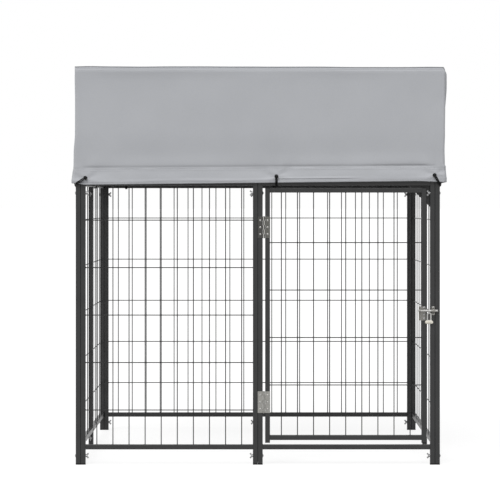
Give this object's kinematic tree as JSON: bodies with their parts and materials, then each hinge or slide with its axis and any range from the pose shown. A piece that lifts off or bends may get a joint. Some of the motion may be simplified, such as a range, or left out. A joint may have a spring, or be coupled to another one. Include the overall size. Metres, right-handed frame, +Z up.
{
  "type": "outdoor dog kennel run",
  "caption": "Square dog run of bolted tube-and-wire panels with a hinged gate, slide latch and a fabric cover over a lean-to roof frame, tied down with ball bungees.",
  "frame": {"origin": "on the ground under the middle of the tube frame", "axes": "+Z up, -Y out of the front with the gate, +X to the right as seen from the front"},
  "size_m": [1.2526, 1.2108, 1.3086],
  "materials": {
    "coated_tube": "dark grey-black powder coat, satin",
    "coated_wire": "dark grey powder coat, satin",
    "black_plastic": "moulded, matt",
    "plated_steel": "zinc plated",
    "galvanised_steel": "galvanised, dull",
    "cover_cloth": "pale grey woven cloth, waterproofed, matt",
    "elastic_cord": "braided elastic cord",
    "pale_grip": "pale, smooth"
  },
  "bodies": {
    "frame": {"front_panel_frame": "coated_tube", "gate_surround": "coated_tube", "gate_stop": "coated_tube", "back_left_panel_frame": "coated_tube", "back_right_panel_frame": "coated_tube", "left_front_panel_frame": "coated_tube", "left_back_panel_frame": "coated_tube", "right_front_panel_frame": "coated_tube", "right_back_panel_frame": "coated_tube", "front_left_hoop": "coated_tube", "front_right_hoop": "coated_tube", "back_left_hoop": "coated_tube", "back_right_hoop": "coated_tube", "left_rafter": "coated_tube", "centre_rafter": "coated_tube", "right_rafter": "coated_tube", "front_panel_mesh": "coated_wire", "back_left_panel_mesh": "coated_wire", "back_right_panel_mesh": "coated_wire", "left_front_panel_mesh": "coated_wire", "left_back_panel_mesh": "coated_wire", "right_front_panel_mesh": "coated_wire", "right_back_panel_mesh": "coated_wire", "leg_plugs": "black_plastic", "top_plugs": "black_plastic", "panel_bolts": "plated_steel", "wing_nuts": "plated_steel", "rafter_screws": "plated_steel", "cover_front": "cover_cloth", "cover_roof": "cover_cloth", "cover_left_side": "cover_cloth", "cover_right_side": "cover_cloth", "cover_back": "cover_cloth", "hem_eyelets": "galvanised_steel", "bungee_balls": "black_plastic", "bungee_cords": "elastic_cord", "lower_hinge_post_leaf": "galvanised_steel", "lower_hinge_pin": "galvanised_steel", "upper_hinge_post_leaf": "galvanised_steel", "upper_hinge_pin": "galvanised_steel", "post_hinge_rivets": "galvanised_steel", "keeper": "galvanised_steel", "keeper_rivets": "galvanised_steel"},
    "gate": {"gate_frame": "coated_tube", "gate_mesh": "coated_wire", "gate_plugs": "black_plastic", "lower_hinge_gate_leaf": "galvanised_steel", "upper_hinge_gate_leaf": "galvanised_steel", "gate_hinge_rivets": "galvanised_steel", "latch_plate": "galvanised_steel", "latch_plate_rivets": "galvanised_steel"},
    "latch_bolt": {"latch_rod": "galvanised_steel"},
    "bolt_pull": {"latch_pull": "galvanised_steel", "latch_grip": "pale_grip"}
  },
  "joints": [
    {"name": "gate_swing", "type": "hinge", "parent": "frame", "child": "gate", "pos_m": [0.02015, -0.58665, 0.49], "axis": [0, 0, -1], "range_deg": [0, 165]},
    {"name": "bolt_slide", "type": "slide", "parent": "gate", "child": "latch_bolt", "axis": [1, 0, 0], "range_m": [-0.025, 0]},
    {"name": "pull_swing", "type": "hinge", "parent": "latch_bolt", "child": "bolt_pull", "pos_m": [0.56315, -0.59075, 0.507], "axis": [-1, 0, 0], "range_deg": [0, 100]}
  ]
}
